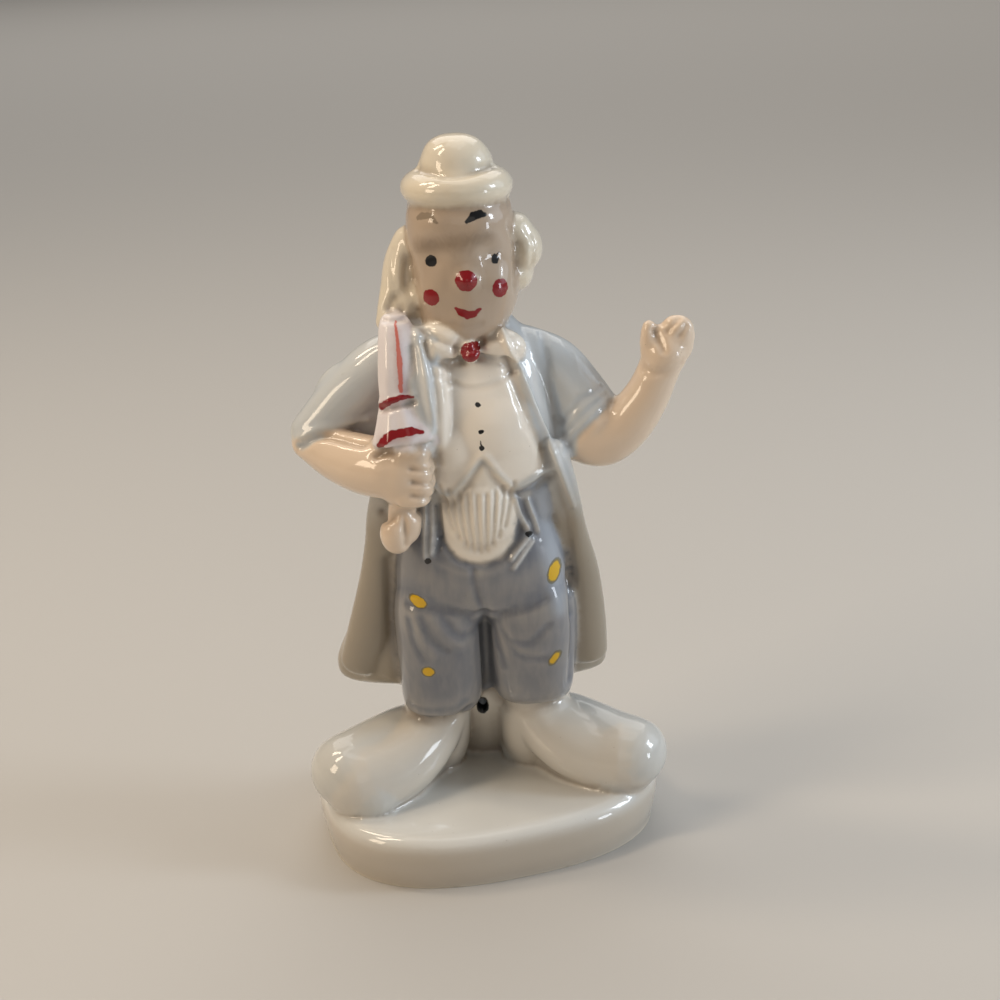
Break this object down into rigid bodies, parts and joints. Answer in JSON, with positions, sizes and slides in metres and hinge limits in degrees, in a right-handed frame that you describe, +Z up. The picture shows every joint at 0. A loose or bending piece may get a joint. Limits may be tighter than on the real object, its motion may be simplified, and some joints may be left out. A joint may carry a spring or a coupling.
{
  "type": "ceramic clown figurine",
  "caption": "Glazed ceramic figurine of a waving clown in a derby hat and long coat, holding a furled umbrella, on an oval plinth.",
  "frame": {"origin": "middle of the plinth's flat underside", "axes": "+Z up through the figure, the figure faces -Y, its raised hand is on +X"},
  "size_m": [0.0907, 0.0672, 0.1649],
  "materials": {
    "glazed_ceramic": null
  },
  "bodies": {
    "root": {"clown_figurine": "glazed_ceramic"}
  },
  "joints": []
}
